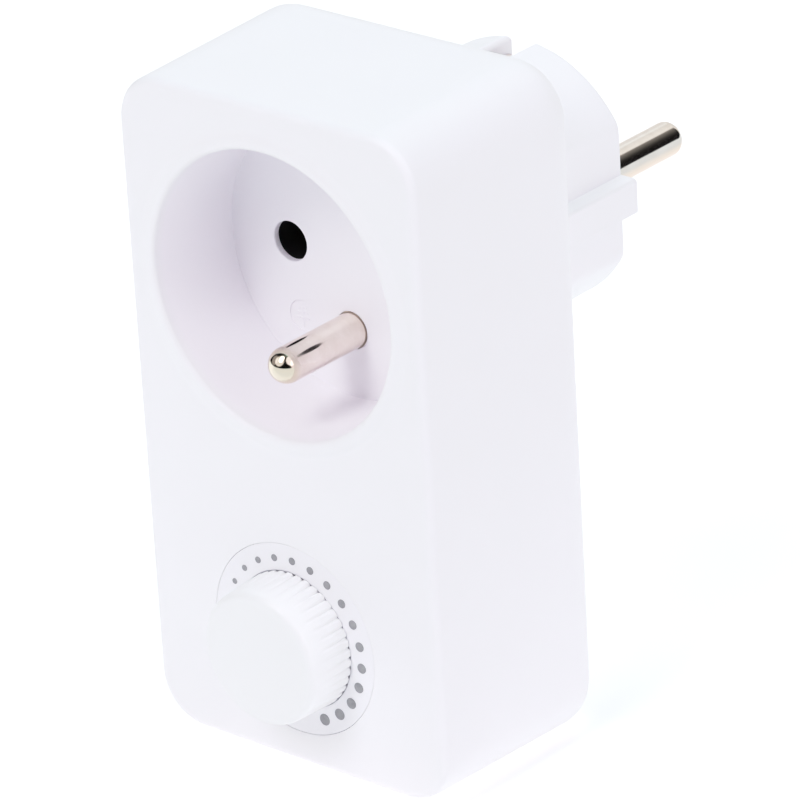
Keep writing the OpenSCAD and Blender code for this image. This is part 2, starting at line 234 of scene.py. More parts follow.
def noise_node(n, l, coord, scale, detail=3.0, rough=0.5, squeeze=None):
    node = n.new("ShaderNodeTexNoise")
    node.inputs["Scale"].default_value = scale
    node.inputs["Detail"].default_value = detail
    node.inputs["Roughness"].default_value = rough
    source = coord
    if squeeze is not None:
        mapping = n.new("ShaderNodeMapping")
        mapping.inputs["Scale"].default_value = squeeze
        l.new(coord, mapping.inputs["Vector"])
        source = mapping.outputs["Vector"]
    l.new(source, node.inputs["Vector"])
    return node


def ramp_node(n, l, source, stops):
    ramp = n.new("ShaderNodeValToRGB")
    elements = ramp.color_ramp.elements
    while len(elements) < len(stops):
        elements.new(0.5)
    for e, (position, colour) in zip(elements, stops):
        e.position = position
        e.color = (*colour, 1.0)
    l.new(source, ramp.inputs["Fac"])
    return ramp


def range_node(n, l, source, low, high):
    node = n.new("ShaderNodeMapRange")
    node.inputs["To Min"].default_value = low
    node.inputs["To Max"].default_value = high
    l.new(source, node.inputs["Value"])
    return node.outputs["Result"]


def bump_node(n, l, height, strength, distance, normal=None):
    node = n.new("ShaderNodeBump")
    node.inputs["Strength"].default_value = strength
    node.inputs["Distance"].default_value = distance
    l.new(height, node.inputs["Height"])
    if normal is not None:
        l.new(normal, node.inputs["Normal"])
    return node.outputs["Normal"]


def shade(colour, k):
    return tuple(min(1.0, c * k) for c in colour)


def surface(name, colour, rough, metallic=0.0, vary=0.03, cloud=120.0, grain=6000.0, bump=0.15, depth=2e-5,
            squeeze=None, specular=0.5, rough_vary=0.05, other=None):
    """A procedural surface: slow changes of tone, fine grain in the roughness and a fine bump."""
    m, n, l, b = new_material(name)
    coord = n.new("ShaderNodeTexCoord").outputs["Object"]
    slow = noise_node(n, l, coord, cloud, 3.0, 0.55)
    fine = noise_node(n, l, coord, grain, 2.0, 0.5, squeeze)
    dark = shade(other or colour, 1 - vary)
    tone = ramp_node(n, l, slow.outputs["Fac"], [(0.3, dark), (0.7, shade(colour, 1 + vary * 0.3))])
    l.new(tone.outputs["Color"], b.inputs["Base Color"])
    l.new(range_node(n, l, fine.outputs["Fac"], rough - rough_vary, rough + rough_vary), b.inputs["Roughness"])
    l.new(bump_node(n, l, fine.outputs["Fac"], bump, depth), b.inputs["Normal"])
    b.inputs["Metallic"].default_value = metallic
    b.inputs["Specular IOR Level"].default_value = specular
    return m


WHITE = (0.928, 0.920, 0.945)
white = surface("white_plastic", WHITE, 0.42, vary=0.012, cloud=45, grain=9000, bump=0.10, depth=1.2e-5, rough_vary=0.04)
# painted light: a lighter, purpler copy of the case's white, standing for light in the socket's recess
well_white_painted_light = surface("well_plastic_painted_light", (0.98, 0.948, 0.998), 0.40, vary=0.012, cloud=60, grain=9000, bump=0.08, depth=1.2e-5, rough_vary=0.04)
# the dial's own tone, made darker and purpler than the case's in part as painted shade for the knob's shadow on it
dial_white_shaded = surface("dial_plastic", (0.92, 0.909, 0.948), 0.48, vary=0.010, cloud=80, grain=12000, bump=0.10, depth=1.0e-5, rough_vary=0.04)
knob_white_painted_shade = surface("knob_plastic", (0.955, 0.968, 0.97), 0.36, vary=0.010, cloud=90, grain=9000, bump=0.08, depth=1.0e-5, rough_vary=0.04)


def painted_tone(m, colour, start, end, axis="Y"):
    """Paints another tone in front of a depth or below a height, which runs over into the material's own tone past it;
    used for painted light, painted shade and painted reflections.
    """
    n, l = m.node_tree.nodes, m.node_tree.links
    base = n["Principled BSDF"].inputs["Base Color"]
    split = n.new("ShaderNodeSeparateXYZ")
    l.new(next(k for k in n if k.type == "TEX_COORD").outputs["Object"], split.inputs["Vector"])
    behind = n.new("ShaderNodeMapRange")
    behind.inputs["From Min"].default_value = start
    behind.inputs["From Max"].default_value = end
    l.new(split.outputs[axis], behind.inputs["Value"])
    mix = n.new("ShaderNodeMix")
    mix.data_type = "RGBA"
    front, back = [s for s in mix.inputs if s.type == "RGBA"]
    front.default_value = (*colour, 1.0)
    l.new(behind.outputs["Result"], mix.inputs["Factor"])
    l.new(base.links[0].from_socket, back)
    l.new(next(s for s in mix.outputs if s.type == "RGBA"), base)


# painted light and shade: the socket's lip keeps the case's tone, while the well behind it is a lighter, purpler copy
# standing for light in the recess; the knob's face has painted shade, a duller tone than its side
painted_tone(well_white_painted_light, WHITE, -0.0511, -0.0496)
# painted shade: the knob's face gets a duller tone than its side
painted_tone(knob_white_painted_shade, (0.907, 0.913, 0.921), -0.0582, -0.0574)


def ink():
    """Printed ink, slightly uneven in tone, like a pad print."""
    m, n, l, b = new_material("dot_ink")
    coord = n.new("ShaderNodeTexCoord").outputs["Object"]
    patch = noise_node(n, l, coord, 900, 4.0, 0.6)
    fine = noise_node(n, l, coord, 14000, 2.0, 0.5)
    tone = ramp_node(n, l, patch.outputs["Fac"], [(0.32, (0.275, 0.272, 0.283)), (0.68, (0.355, 0.352, 0.362))])
    l.new(tone.outputs["Color"], b.inputs["Base Color"])
    l.new(range_node(n, l, fine.outputs["Fac"], 0.5, 0.66), b.inputs["Roughness"])
    l.new(bump_node(n, l, fine.outputs["Fac"], 0.15, 8e-6), b.inputs["Normal"])
    return m


def turned_metal(name, colour, dark, rough, across, wear=0.5):
    """Plated, turned metal: fine rings along one axis, faint stains, and a soft haze in the gloss."""
    m, n, l, b = new_material(name)
    coord = n.new("ShaderNodeTexCoord").outputs["Object"]
    rings = noise_node(n, l, coord, 60, 4.0, 0.6, across)
    stain = noise_node(n, l, coord, 420, 4.0, 0.6)
    fine = noise_node(n, l, coord, 5200, 3.0, 0.6)
    tone = ramp_node(n, l, stain.outputs["Fac"], [(0.30, dark), (0.62, colour)])
    l.new(tone.outputs["Color"], b.inputs["Base Color"])
    mix = n.new("ShaderNodeMix")
    mix.data_type = "FLOAT"
    mix.inputs["Factor"].default_value = wear
    l.new(rings.outputs["Fac"], mix.inputs["A"])
    l.new(fine.outputs["Fac"], mix.inputs["B"])
    l.new(range_node(n, l, mix.outputs["Result"], rough * 0.6, rough * 1.5), b.inputs["Roughness"])
    l.new(bump_node(n, l, rings.outputs["Fac"], 0.06, 1.0e-5), b.inputs["Normal"])
    b.inputs["Metallic"].default_value = 1.0
    return m


# the pins lie along Y, so their turning marks change along Y only
nickel = turned_metal("nickel", (0.87, 0.785, 0.70), (0.79, 0.70, 0.61), 0.11, (2, 260, 2))
# painted reflection: the earth pin's dome is a warmer, golden tone in front of its end, standing for what the metal
# reflects there
painted_tone(nickel, (0.78, 0.69, 0.55), -0.0501, -0.0491)
pin_nickel_painted_reflection = turned_metal("pin_nickel_painted_reflection", (0.78, 0.73, 0.67), (0.71, 0.655, 0.59), 0.12, (2, 260, 2))
# painted reflection: the mains pins' lower halves are a warmer tone, standing for the warm reflection under them
painted_tone(pin_nickel_painted_reflection, (0.74, 0.60, 0.49), -0.0008, 0.0002, "Z")
strip_nickel = turned_metal("strip_nickel", (0.84, 0.77, 0.74), (0.76, 0.69, 0.65), 0.32, (160, 3, 3))
screw_steel = turned_metal("screw_steel", (0.72, 0.725, 0.735), (0.60, 0.60, 0.61), 0.28, (3, 200, 3))

# ------------------------------------------------------------------ case
front_c = CORNER_R + FRONT_R * math.tan(DRAFT) - FRONT_R / math.cos(DRAFT)
back_c = CORNER_R + (CASE_D - BACK_R) * math.tan(DRAFT) - BACK_R / math.cos(DRAFT)
split_a = math.degrees(math.asin((SPLIT_D - (CASE_D - BACK_R)) / BACK_R))
SEAM = 0.12                                   # half width of the joint line's groove


def back_arc(a):
    a = math.radians(a)
    return back_c + BACK_R * math.cos(a), CASE_D - BACK_R + BACK_R * math.sin(a)


def case_front():
    s = Shape()
    side = arc(front_c, FRONT_R, FRONT_R, -90, -2, 10)
    side += [back_arc(a) for a in (-2, 6, 14, 22, 30, 38)]
    side.append(back_arc(math.degrees(math.asin((SPLIT_D - SEAM - CASE_D + BACK_R) / BACK_R))))
    side.append((back_arc(split_a)[0] - SEAM, SPLIT_D))
    side += [(CORNER_R - WALL, SPLIT_D), (CORNER_R - WALL, WALL)]
    guard = s.loop(corner_loop(front_c - 0.6, 0))
    first, inner = s.run([corner_loop(r, d) for r, d in side])
    s.strip(guard, first)
    # socket hole, under the lip
    n = 128
    sock, sock_in = s.run([circle(0, SOCK_V, r, d, n) for r, d in ((21.7, 0), (21.2, 0), (21.2, WALL))])
    # pocket of the dial plate
    r, e = 13.24, 0.08
    edge = [(r + e + 0.5, 0)] + [(r + e - e * math.sin(t), e - e * math.cos(t)) for t in (0, 0.4, 0.8, 1.2, math.pi / 2)]
    dial, dial_in = s.run([circle(0, DIAL_V, q, d, n) for q, d in edge + [(r, 1.2), (4.5, 1.2), (4.5, WALL)]])
    s.cap(guard, sock, dial)
    holes = [sock_in, dial_in]
    for x, v in BOSSES:
        foot, bore = s.run([circle(x, v, q, d, 32) for q, d in ((3, WALL), (3, 28.2), (1.55, 28.2), (1.55, 12))])
        s.cap(bore)
        holes.append(foot)
    for x in (-16, 16):
        foot, bore = s.run([circle(x, 28, q, d, 24) for q, d in ((2.4, WALL), (2.4, 11), (1.05, 11), (1.05, 5))])
        s.cap(bore)
        holes.append(foot)
    s.cap(inner, *holes)
    return s.mesh("case_front")


def case_back():
    s = Shape()
    side = [(back_arc(split_a)[0] - SEAM, SPLIT_D)]
    first_a = math.degrees(math.asin((SPLIT_D + SEAM - CASE_D + BACK_R) / BACK_R))
    side += [back_arc(first_a + (90 - first_a) * k / 10) for k in range(11)]
    side.append((back_arc(90)[0] - 0.5, CASE_D))
    start, flat = s.run([corner_loop(r, d) for r, d in side])
    edge = [(17.2, CASE_D), (16.7, CASE_D), (16.5, CASE_D + 0.2 - 0.4), (16.5, COVER_IN)]
    hole, hole_in = s.run([circle(0, 0, r, d, 128) for r, d in edge])
    s.cap(flat, hole)
    plate = [s.loop(corner_loop(4.6, d, CX - 0.15, CV - 0.15)) for d in (SPLIT_D, COVER_IN)]
    s.strip(start, *plate)
    s.cap(plate[1], hole_in)
    obj = s.mesh("case_back")
    tools = []
    for x, v in BOSSES:
        c = Shape().turned([(0, 25), (1.7, 25), (1.7, CASE_D - 1.4), (3.1, CASE_D - 1.4), (3.1, 35), (0, 35)], x, v, 48)
        tools.append(c.mesh("tool"))
    return combine(obj, tools, "DIFFERENCE")


def cross(x, v, turn, top, bottom):
    """A tapered cross, the recess of a screw's head."""
    s = Shape()
    outline = []
    for k in range(4):
        a = turn + math.pi / 2 * k
        for u, w in ((1, -1), (1, 1), (0.3, 1)):
            outline.append((a, u, w))

    def ring(d, reach, half_w):
        points = []
        for a, u, w in outline:
            px, pv = (reach if u == 1 else half_w), w * half_w
            points.append((x + px * math.cos(a) - pv * math.sin(a), v + px * math.sin(a) + pv * math.cos(a), d))
        return points

    a, b = s.run([ring(top, 1.65, 0.42), ring(bottom, 0.85, 0.26)])
    s.cap(a)
    s.cap(b)
    return s.mesh("tool")


def case_screws():
    s = Shape()
    for k, (x, v) in enumerate(BOSSES):
        head = [(1.5, 16.4), (1.5, 29.85), (2.75, 29.85), (2.9, 30.0), (2.9, 30.35)] + arc(0, 25.25, 5.8, 30.2, 88, 10)
        # domed head, in depth order
        head = [(r, min(d, 31.05)) for r, d in head]
        s.turned([(0, 16)] + head + [(0, 31.05)], x, v, 48)
    obj = s.mesh("case_screws")
    return combine(obj, [cross(x, v, 0.35 + 0.9 * k, 31.6, 30.25) for k, (x, v) in enumerate(BOSSES)], "DIFFERENCE")


finished(case_front(), white, ["front_housing"], angle=30)
finished(case_back(), white, ["back_cover"], angle=30)
finished(case_screws(), screw_steel, ["housing_screws"])

# ------------------------------------------------------------------ socket


def socket():
    s = Shape()
    n = 160
    profile = arc(RECESS_R - 0.12, RECESS_D - 0.12, 0.12, 90, 0, 4)
    profile += arc(RECESS_R + 0.6, 0.6 - LIP_H, 0.6, 180, 270, 8)
    # the lip runs out into the case's front face
    top = RECESS_R + 0.8
    profile += [(top + (LIP_R - top) * k / 10, -0.004 - (LIP_H - 0.004) * (0.5 + 0.5 * math.cos(math.pi * k / 10))) for k in range(11)]
    profile += [(LIP_R, 0), (21.1, 0), (21.1, WELL_BACK)]
    guard = s.loop(circle(0, SOCK_V, RECESS_R - 1.0, RECESS_D, n))
    first, back = s.run([circle(0, SOCK_V, r, d, n) for r, d in profile])
    s.strip(guard, first)
    floor_holes, back_holes = [], []
    for x, v, r, e in ((-HALF, SOCK_V, 2.7, 0.2), (HALF, SOCK_V, 2.7, 0.2), (0, EARTH_V, 2.55, 0.06)):
        edge = [(r + e + 0.25, RECESS_D)] + [(r + e - e * math.sin(t), RECESS_D + e - e * math.cos(t)) for t in (0, 0.4, 0.8, 1.2, math.pi / 2)]
        rest = [(r, WELL_BACK)] if x == 0 else [(r, RECESS_D + 0.9), (3.6, RECESS_D + 0.9), (3.6, WELL_BACK)]
        top, low = s.run([circle(x, v, q, d, 64) for q, d in edge + rest])
        floor_holes.append(top)
        back_holes.append(low)
    # earth mark sunk into the floor: a round field with a stem and three bars left standing
    x, v, r, h = -8.2, 9.6, 2.1, 0.16
    rim, field = s.run([circle(x, v, q, d, 64) for q, d in ((r + 0.3, RECESS_D), (r + 0.03, RECESS_D), (r, RECESS_D + 0.03), (r, RECESS_D + h))])
    s.cap(field)
    s.cap(guard, rim, *floor_holes)
    s.cap(back, *back_holes)
    for cu, cw, hu, hw in ((0, 1.05, 0.09, 0.6), (0, 0.4, 1.05, 0.09), (0, -0.33, 0.85, 0.09), (0, -1.0, 0.6, 0.09)):
        low, top = [], []
        for su, sw in ((-1, -1), (1, -1), (1, 1), (-1, 1)):
            low.append((x + cu + su * (hu + 0.03), v + cw + sw * (hw + 0.03), RECESS_D + h + 0.05))
            top.append((x + cu + su * hu, v + cw + sw * hw, RECESS_D + 0.04))
        a, b = s.loop(low), s.loop(top)
        s.strip(a, b)
        s.cap(a)
        s.cap(b)
    return s.mesh("socket_cup")


def earth_pin():
    s = Shape()
    tip = RECESS_D - 15
    profile = [(0, tip)] + [(PIN_R * math.sin(math.radians(a)), tip + PIN_R - PIN_R * math.cos(math.radians(a))) for a in range(6, 91, 6)]
    profile += [(PIN_R, 8), (PIN_R, RECESS_D + 0.30), (2.5, RECESS_D + 0.33), (2.5, 16.3), (4, 16.3), (4, 17.6), (2, 17.7), (2, 27.2), (0, 27.2)]
    return s.turned(profile, 0, EARTH_V, 72).mesh("earth_pin")


finished(socket(), well_white_painted_light, ["socket_well"], angle=30)
finished(earth_pin(), nickel, ["socket_earth_pin"])

# ------------------------------------------------------------------ dial and knob


def dial():
    """A thin disc; the groove under the knob's rim is a little oval."""
    s = Shape()
    e = 0.06
    inner = [(4.5, 1.15), (4.5, 0.05), (8.6, 0.05), (8.6, 0.6)]
    outer = [(12.6, 0.05)] + [(13.2 - e + e * math.sin(t), 0.05 + e - e * math.cos(t)) for t in (0, 0.4, 0.8, 1.2, math.pi / 2)] + [(13.2, 1.15)]
    made = [s.loop(circle(0, DIAL_V, r, d, 144)) for r, d in inner]
    for d in (0.6, 0.05):
        turn = [math.tau * k / 144 for k in range(144)]
        oval = [9.385 + 0.155 * math.cos(2 * a + math.radians(250)) for a in turn]
        made.append(s.loop([(r * math.cos(a), DIAL_V + r * math.sin(a), d) for r, a in zip(oval, turn)]))
    made += [s.loop(circle(0, DIAL_V, r, d, 144)) for r, d in outer]
    s.strip(*made, made[0])
    return s.mesh("dial_disc")


KNOB_R, KNOB_H, KNOB_D, FLUTES = 9.45, 7.0, -0.12, 42


def knob():
    """Rounded ridges between narrow grooves that get shallower towards the front, and a dimple that points to the setting."""
    s = Shape()
    per = 12
    n = FLUTES * per

    def groove(k):
        u = abs((k % per) / per - 0.5) * 2            # 0 in the groove, 1 on the ridge
        return max(0.0, 1 - u / 0.52) ** 1.25

    ridges = [groove(k) for k in range(n)]

    def ring(r, h, depth):
        points = []
        for k in range(n):
            a = math.tau * k / n
            q = r - depth * ridges[k]
            points.append((q * math.sin(a), DIAL_V - q * math.cos(a), KNOB_D - h))
        return points

    round_r = 1.0
    top_r = KNOB_R - 0.3 - round_r
    loops = [ring(KNOB_R - 0.05, -0.10, 0.30), ring(KNOB_R, -0.05, 0.31)]
    side_top = (top_r + round_r * math.cos(math.radians(3)), KNOB_H - round_r + round_r * math.sin(math.radians(3)))
    for k in range(1, 9):
        t = k / 8
        h = -0.05 + (side_top[1] + 0.05) * t
        loops.append(ring(KNOB_R + (side_top[0] - KNOB_R) * t, h, 0.31 * (1 - t) ** 1.2))
    for k in range(1, 9):
        a = math.radians(3 + 87 * k / 8)
        loops.append(ring(top_r + round_r * math.cos(a), KNOB_H - round_r + round_r * math.sin(a), 0))
    loops.append(ring(top_r - 0.4, KNOB_H, 0))
    base, face = s.run(loops)
    # underside: hollow round the hub, and the shaft's bore
    under = [(7.9, -0.1), (7.6, 4.6), (4.8, 4.6), (4.8, 0), (3.05, 0), (3.05, 5.2)]
    inner = [ring(r, h, 0) for r, h in under]
    made = [s.loop(p) for p in inner]
    s.strip(base, *made)
    s.cap(made[-1])
    # dimple
    a = math.radians(-150)
    x, v = 6.6 * math.sin(a), DIAL_V - 6.6 * math.cos(a)
    wide, deep = 1.05, 0.12
    bowl = [(wide * (1 - k / 12), KNOB_H - deep * (0.5 - 0.5 * math.cos(math.pi * k / 12))) for k in range(12)]
    edge, last = s.run([circle(x, v, q, KNOB_D - h, 40) for q, h in bowl])
    s.tip(last, (x, v, KNOB_D - KNOB_H + deep))
    s.cap(face, edge)
    return s.mesh("knob")


finished(dial(), dial_white_shaded, ["dial_plate"])
finished(knob(), knob_white_painted_shade, ["dimmer_knob"], body="knob", angle=40)
nodes["scale_dots"].data.materials.clear()
nodes["scale_dots"].data.materials.append(ink())

# ------------------------------------------------------------------ plug
PLUG_R, PLUG_FLAT, RIM = 17.9, 15.5, 0.8


def plug_loop(inset, d, n=288):
    """A circle with two side flats, its four corners softened."""
    soft, points = 0.45, []
    for k in range(n):
        a = math.tau * k / n
        r1, r2 = PLUG_R - inset, (PLUG_FLAT - inset) / max(abs(math.cos(a)), 1e-6)
        h = max(0.0, min(1.0, 0.5 + 0.5 * (r2 - r1) / soft))
        r = r2 + (r1 - r2) * h - soft * h * (1 - h)
        points.append((r * math.cos(a), r * math.sin(a), d))
    return points


def block(x0, x1, v0, v1, d0, d1):
    s = Shape()
    a, b = s.run([[(x0, v0, d), (x1, v0, d), (x1, v1, d), (x0, v1, d)] for d in (d0, d1)])
    s.cap(a)
    s.cap(b)
    return s.mesh("tool")


def rib(side):
    """Guide rib, its upper edge rounder than its lower one and its end set back from the plug's face."""
    s = Shape()
    reach, half_h, e, low = 18.05, 2.35, 0.5, 0.15

    def section(inset, d):
        top, hv = reach - inset, half_h - inset
        points = [(side * 13, hv, d)]
        points += [(side * (top - low + low * math.cos(t)), hv - low + low * math.sin(t), d) for t in [math.pi / 2 - k * math.pi / 12 for k in range(7)]]
        points += [(side * (top - e + e * math.cos(t)), -hv + e - e * math.sin(t), d) for t in [k * math.pi / 12 for k in range(7)]]
        points.append((side * 13, -hv, d))
        return points

    end = [(0, 30.5), (0, 51.1 - e)] + [(e - e * math.cos(t), 51.1 - e + e * math.sin(t)) for t in [k * math.pi / 12 for k in range(1, 7)]]
    a, b = s.run([section(i, d) for i, d in end])
    s.cap(a)
    s.cap(b)
    return s.mesh("tool")


def notch(side):
    """The opening of an earth contact, cut with rounded edges."""
    s = Shape()
    w, e, rim = 2.0, 0.9, 17.8
    right = [(w, 13.9)] + [(w + e - e * math.cos(t), rim - e + e * math.sin(t)) for t in [k * math.pi / 16 for k in range(9)]] + [(w + e, 30)]
    outline = right + [(-x, v) for x, v in reversed(right)]
    a, b = s.run([[(x, side * v, d) for x, v in outline] for d in (44.7, 60)])
    s.cap(a)
    s.cap(b)
    return s.mesh("tool")


def plug():
    s = Shape()
    profile = [(0, CASE_D)] + [(0, 40.0)] + [(RIM - RIM * math.cos(math.radians(a)), FACE_D - RIM + RIM * math.sin(math.radians(a))) for a in range(0, 91, 9)]
    profile.append((1.5, FACE_D))
    base, face = s.run([plug_loop(i, d) for i, d in profile])
    s.cap(face)
    # spigot inside the back cover
    spigot = [s.loop([(r * math.cos(math.tau * k / 288), r * math.sin(math.tau * k / 288), d) for k in range(288)]) for r, d in ((15.4, CASE_D), (15.4, COVER_IN))]
    s.strip(base, *spigot)
    s.cap(spigot[1])
    obj = s.mesh("plug_shell")
    flange = [(0, 28.6), (16.35, 28.6), (16.35, CASE_D - 0.15), (16.25, CASE_D - 0.05), (0, CASE_D - 0.05)]
    combine(obj, [rib(1), rib(-1), Shape().turned(flange, 0, 0, 128).mesh("tool")], "UNION")
    tools = [notch(1), notch(-1)]
    for x, v, r, e, deep in ((-HALF, 0, 3.2, 0.0, 39.3), (HALF, 0, 3.2, 0.0, 39.3), (0, -10, 3.15, 0.35, 34.5)):
        c = [(0, deep), (r, deep), (r, FACE_D - e)] + ([(r + e + 1, FACE_D + 1)] if e else [(r, FACE_D + 1)]) + [(0, FACE_D + 1)]
        tools.append(Shape().turned(c, x, v, 64).mesh("tool"))
    # channels of the two earth strips
    tools += [block(-1.9, 1.9, 13.9, 16.1, 29, 60), block(-1.9, 1.9, -16.1, -13.9, 29, 60)]
    return combine(obj, tools, "DIFFERENCE")


def plug_pin(x, name):
    end = FACE_D + 18.1
    profile = [(0, 36.6), (2, 36.6), (2, 39.2), (3.15, 39.2), (3.15, FACE_D - 0.25), (2.95, FACE_D - 0.02), (2.5, FACE_D - 0.02), (PIN_R, FACE_D + 0.1), (PIN_R, 60)]
    profile += [(0.8 + 1.6 * math.cos(math.radians(a)), end - 1.6 + 1.6 * math.sin(math.radians(a))) for a in range(0, 91, 9)]
    profile += [(0.5, end), (0, end)]
    return Shape().turned(profile, x, 0, 72).mesh(name)


finished(plug(), white, ["plug_body"], angle=30)
finished(plug_pin(-HALF, "mains_pin_left"), pin_nickel_painted_reflection, ["plug_pin_left"])
finished(plug_pin(HALF, "mains_pin_right"), pin_nickel_painted_reflection, ["plug_pin_right"])

# ------------------------------------------------------------------ finishes of the CAD nodes that stay
brass = turned_metal("brass", (0.80, 0.62, 0.30), (0.62, 0.46, 0.20), 0.26, (120, 3, 3))
shaft_steel = turned_metal("shaft_steel", (0.70, 0.70, 0.71), (0.55, 0.55, 0.56), 0.25, (2, 240, 2))
pot_steel = turned_metal("pot_steel", (0.66, 0.67, 0.68), (0.52, 0.53, 0.54), 0.32, (3, 60, 3))
aluminium = turned_metal("aluminium", (0.78, 0.785, 0.79), (0.66, 0.665, 0.67), 0.34, (3, 140, 3))
black = surface("black_plastic", (0.020, 0.020, 0.022), 0.55, vary=0.25, cloud=160, grain=5000, bump=0.25, specular=0.3)
phenolic = surface("phenolic", (0.30, 0.17, 0.08), 0.5, vary=0.25, cloud=700, grain=3000, bump=0.2, squeeze=(1, 1, 6), other=(0.22, 0.12, 0.05))
carbon = surface("carbon", (0.025, 0.025, 0.026), 0.6, vary=0.3, cloud=900, grain=4000, bump=0.2)
board = surface("board_green", (0.035, 0.16, 0.06), 0.32, vary=0.30, cloud=260, grain=2500, bump=0.25, squeeze=(5, 1, 1), other=(0.028, 0.11, 0.045))
ferrite = surface("ferrite", (0.055, 0.055, 0.058), 0.62, vary=0.35, cloud=900, grain=3500, bump=0.4, depth=4e-5)
film_yellow = surface("film_yellow", (0.70, 0.50, 0.08), 0.30, vary=0.06, cloud=150, grain=3000, bump=0.1)
film_red = surface("film_red", (0.42, 0.07, 0.03), 0.24, vary=0.12, cloud=260, grain=1200, bump=0.2, depth=4e-5)
diac_blue = surface("diac_blue", (0.04, 0.09, 0.30), 0.18, vary=0.15, cloud=500, grain=2000, bump=0.1)
wire_brown = surface("wire_brown", (0.20, 0.075, 0.030), 0.42, vary=0.10, cloud=300, grain=2200, bump=0.15)
wire_black = surface("wire_black", (0.018, 0.018, 0.020), 0.42, vary=0.20, cloud=300, grain=2200, bump=0.15)


def copper():
    """Enamelled wire: close turns along Y over a warm copper tone."""
    m, n, l, b = new_material("copper")
    coord = n.new("ShaderNodeTexCoord").outputs["Object"]
    turns = n.new("ShaderNodeTexWave")
    turns.bands_direction = "Y"
    turns.inputs["Scale"].default_value = 320
    turns.inputs["Distortion"].default_value = 0.4
    l.new(coord, turns.inputs["Vector"])
    patch = noise_node(n, l, coord, 300, 3.0, 0.6)
    tone = ramp_node(n, l, patch.outputs["Fac"], [(0.3, (0.42, 0.14, 0.05)), (0.7, (0.62, 0.24, 0.10))])
    l.new(tone.outputs["Color"], b.inputs["Base Color"])
    l.new(range_node(n, l, turns.outputs["Fac"], 0.38, 0.2), b.inputs["Roughness"])
    l.new(bump_node(n, l, turns.outputs["Fac"], 0.5, 8e-5), b.inputs["Normal"])
    b.inputs["Metallic"].default_value = 0.85
    return m


def banded():
    """Resistor lacquer with colour bands along X."""
    m, n, l, b = new_material("resistor_tan")
    coord = n.new("ShaderNodeTexCoord").outputs["Object"]
    split = n.new("ShaderNodeSeparateXYZ")
    l.new(coord, split.inputs["Vector"])
    along = n.new("ShaderNodeMapRange")
    along.inputs["From Min"].default_value = 0.0085
    along.inputs["From Max"].default_value = 0.0155
    l.new(split.outputs["X"], along.inputs["Value"])
    tan, brown, dark, red, gold = (0.52, 0.38, 0.22), (0.13, 0.05, 0.02), (0.015, 0.015, 0.015), (0.40, 0.03, 0.02), (0.45, 0.28, 0.07)
    bands = ramp_node(n, l, along.outputs["Result"], [
        (0.0, tan), (0.16, brown), (0.25, tan), (0.36, dark), (0.45, tan), (0.54, red), (0.63, tan), (0.78, gold), (0.87, tan)])
    bands.color_ramp.interpolation = "CONSTANT"
    fine = noise_node(n, l, coord, 2600, 3.0, 0.6)
    l.new(bands.outputs["Color"], b.inputs["Base Color"])
    l.new(range_node(n, l, fine.outputs["Fac"], 0.28, 0.42), b.inputs["Roughness"])
    l.new(bump_node(n, l, fine.outputs["Fac"], 0.15, 3e-5), b.inputs["Normal"])
    return m


def glass():
    m, n, l, b = new_material("fuse_glass")
    coord = n.new("ShaderNodeTexCoord").outputs["Object"]
    smear = noise_node(n, l, coord, 300, 3.0, 0.6)
    tone = ramp_node(n, l, smear.outputs["Fac"], [(0.3, (0.90, 0.96, 0.96)), (0.7, (0.97, 0.99, 0.99))])
    l.new(tone.outputs["Color"], b.inputs["Base Color"])
    l.new(range_node(n, l, smear.outputs["Fac"], 0.02, 0.10), b.inputs["Roughness"])
    b.inputs["Transmission Weight"].default_value = 0.95
    b.inputs["IOR"].default_value = 1.47
    return m


copper_mat, banded_mat, glass_mat = copper(), banded(), glass()
FINISH = {
    "contact_carrier": black, "contact_left": brass, "contact_right": brass, "neutral_link": brass, "earth_link": brass,
    "dimmer_shaft": shaft_steel, "pot_bushing": brass, "pot_body": pot_steel, "pot_back": phenolic, "pot_track": carbon,
    "pot_wiper": brass, "circuit_board": board, "board_screws": screw_steel, "triac": black, "heat_sink": aluminium,
    "choke_core": ferrite, "choke_winding": copper_mat, "suppression_capacitor": film_yellow, "timing_capacitor": film_red,
    "resistors": banded_mat, "diac": diac_blue, "fuse_tube": glass_mat, "fuse_caps": strip_nickel, "fuse_clips": brass,
    "line_wire": wire_brown, "load_wire": wire_black, "plug_earth_socket": nickel, "plug_clip_top": strip_nickel,
    "plug_clip_bottom": strip_nickel,
}
for name, material in FINISH.items():
    nodes[name].data.materials.clear()
    nodes[name].data.materials.append(material)

# ------------------------------------------------------------------ stage and light
lowest = cad_box[0].z


def math_node(n, l, operation, a, b=0.0):
    node = n.new("ShaderNodeMath")
    node.operation = operation
    for socket, value in zip(node.inputs, (a, b)):
        if isinstance(value, (int, float)):
            socket.default_value = value
        else:
            l.new(value, socket)
    return node.outputs["Value"]


def along(n, l, coord, direction):
    """How far a point or a direction lies along another one."""
    node = n.new("ShaderNodeVectorMath")
    node.operation = "DOT_PRODUCT"
    node.inputs[1].default_value = direction
    l.new(coord, node.inputs[0])
    return node.outputs["Value"]


def smooth_node(n, l, source, start, end, low, high):
    node = n.new("ShaderNodeMapRange")
    node.interpolation_type = "SMOOTHSTEP"
    for socket, value in zip(("From Min", "From Max", "To Min", "To Max"), (start, end, low, high)):
        node.inputs[socket].default_value = value
    l.new(source, node.inputs["Value"])
    return node.outputs["Result"]


def distance(n, l, coord, centre, half):
    """How far a point of the floor lies from a rectangle."""
    split = n.new("ShaderNodeSeparateXYZ")
    l.new(coord, split.inputs["Vector"])
    squares = []
    for axis, c, h in zip("XY", centre, half):
        off = math_node(n, l, "ABSOLUTE", math_node(n, l, "SUBTRACT", split.outputs[axis], c))
        off = math_node(n, l, "MAXIMUM", math_node(n, l, "SUBTRACT", off, h), 0.0)
        squares.append(math_node(n, l, "MULTIPLY", off, off))
    return math_node(n, l, "SQRT", math_node(n, l, "ADD", *squares))


